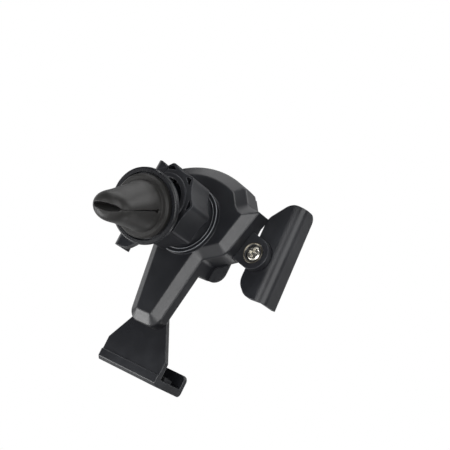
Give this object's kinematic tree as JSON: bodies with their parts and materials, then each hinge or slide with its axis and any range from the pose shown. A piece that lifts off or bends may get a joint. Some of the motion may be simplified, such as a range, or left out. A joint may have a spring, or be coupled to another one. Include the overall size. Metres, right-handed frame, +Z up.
{
  "type": "phone holder",
  "caption": "Gravity-closing holder for a car's air vent: sliding foot, swivelling side clamps on sloping arms, ball joint with lock nut, and a rubber vent clip.",
  "frame": {"origin": "centre of the front pad's face, where the back of the held handset rests", "axes": "+Z up along the held handset, -Y from the pad towards the handset and the driver, +Y towards the vent"},
  "size_m": [0.0772, 0.0748, 0.0827],
  "materials": {
    "black_moulding": "fine spark-eroded texture on injection-moulded ABS",
    "black_gloss": "satin injection-moulded plastic",
    "nose_rubber": "moulded soft rubber, dull",
    "pad_rubber": "thin rubber pad, dull",
    "nickel_screw": "nickel-plated steel screw",
    "zinc_steel": "zinc-plated steel"
  },
  "bodies": {
    "clip": {"rubber_nose": "nose_rubber", "nose_core": "black_moulding", "clip_cup": "black_moulding", "clip_ring": "black_gloss"},
    "ball": {"ball_stud": "black_gloss", "clip_washer": "zinc_steel", "clip_screw": "nickel_screw"},
    "liner": {"socket_liner": "black_moulding"},
    "cradle": {"rear_housing": "black_moulding", "front_cover": "black_moulding", "front_pad": "pad_rubber", "cover_screws": "nickel_screw"},
    "lock_nut": {"lock_nut": "black_moulding"},
    "foot": {"foot": "black_gloss", "foot_pad": "pad_rubber", "carriage": "black_moulding", "carriage_screws": "nickel_screw"},
    "left_arm": {"left_arm": "black_gloss", "left_arm_pin": "zinc_steel"},
    "left_clamp": {"left_clamp": "black_gloss", "left_clamp_pad": "pad_rubber", "left_clamp_screw": "nickel_screw"},
    "right_arm": {"right_arm": "black_gloss", "right_arm_pin": "zinc_steel"},
    "right_clamp": {"right_clamp": "black_gloss", "right_clamp_pad": "pad_rubber", "right_clamp_screw": "nickel_screw"}
  },
  "joints": [
    {"name": "clip_swivel", "type": "hinge", "parent": "clip", "child": "ball", "pos_m": [0, 0.02855, 0], "axis": [-0.1456, 0.919, -0.3665], "continuous": true},
    {"name": "ball_tilt", "type": "hinge", "parent": "ball", "child": "liner", "pos_m": [0, 0.02855, 0], "axis": [0.9877, 0.1564, 0], "range_deg": [-44.5, 1.5]},
    {"name": "ball_pan", "type": "hinge", "parent": "liner", "child": "cradle", "pos_m": [0, 0.02855, 0], "axis": [0, 0, 1], "range_deg": [-14, 32]},
    {"name": "nut_turn", "type": "hinge", "parent": "cradle", "child": "lock_nut", "pos_m": [0, 0.028, 0], "axis": [0, 1, 0], "range_deg": [0, 180]},
    {"name": "foot_slide", "type": "slide", "parent": "cradle", "child": "foot", "axis": [0, 0, 1], "range_m": [-0.001, 0.009]},
    {"name": "left_arm_slide", "type": "slide", "parent": "cradle", "child": "left_arm", "axis": [-0.9659, 0, -0.2588], "range_m": [-0.0008, 0.0072]},
    {"name": "right_arm_slide", "type": "slide", "parent": "cradle", "child": "right_arm", "axis": [0.9659, 0, -0.2588], "range_m": [-0.0008, 0.0072]},
    {"name": "left_clamp_pivot", "type": "hinge", "parent": "left_arm", "child": "left_clamp", "pos_m": [-0.0283, 0.004, -0.0017], "axis": [0, 1, 0], "range_deg": [-4, 4]},
    {"name": "right_clamp_pivot", "type": "hinge", "parent": "right_arm", "child": "right_clamp", "pos_m": [0.0283, 0.004, -0.0017], "axis": [0, 1, 0], "range_deg": [-4, 4]}
  ],
  "couplings": [
    {"joint": "left_arm_slide", "follows": "foot_slide", "ratio": 0.8},
    {"joint": "right_arm_slide", "follows": "foot_slide", "ratio": 0.8}
  ]
}
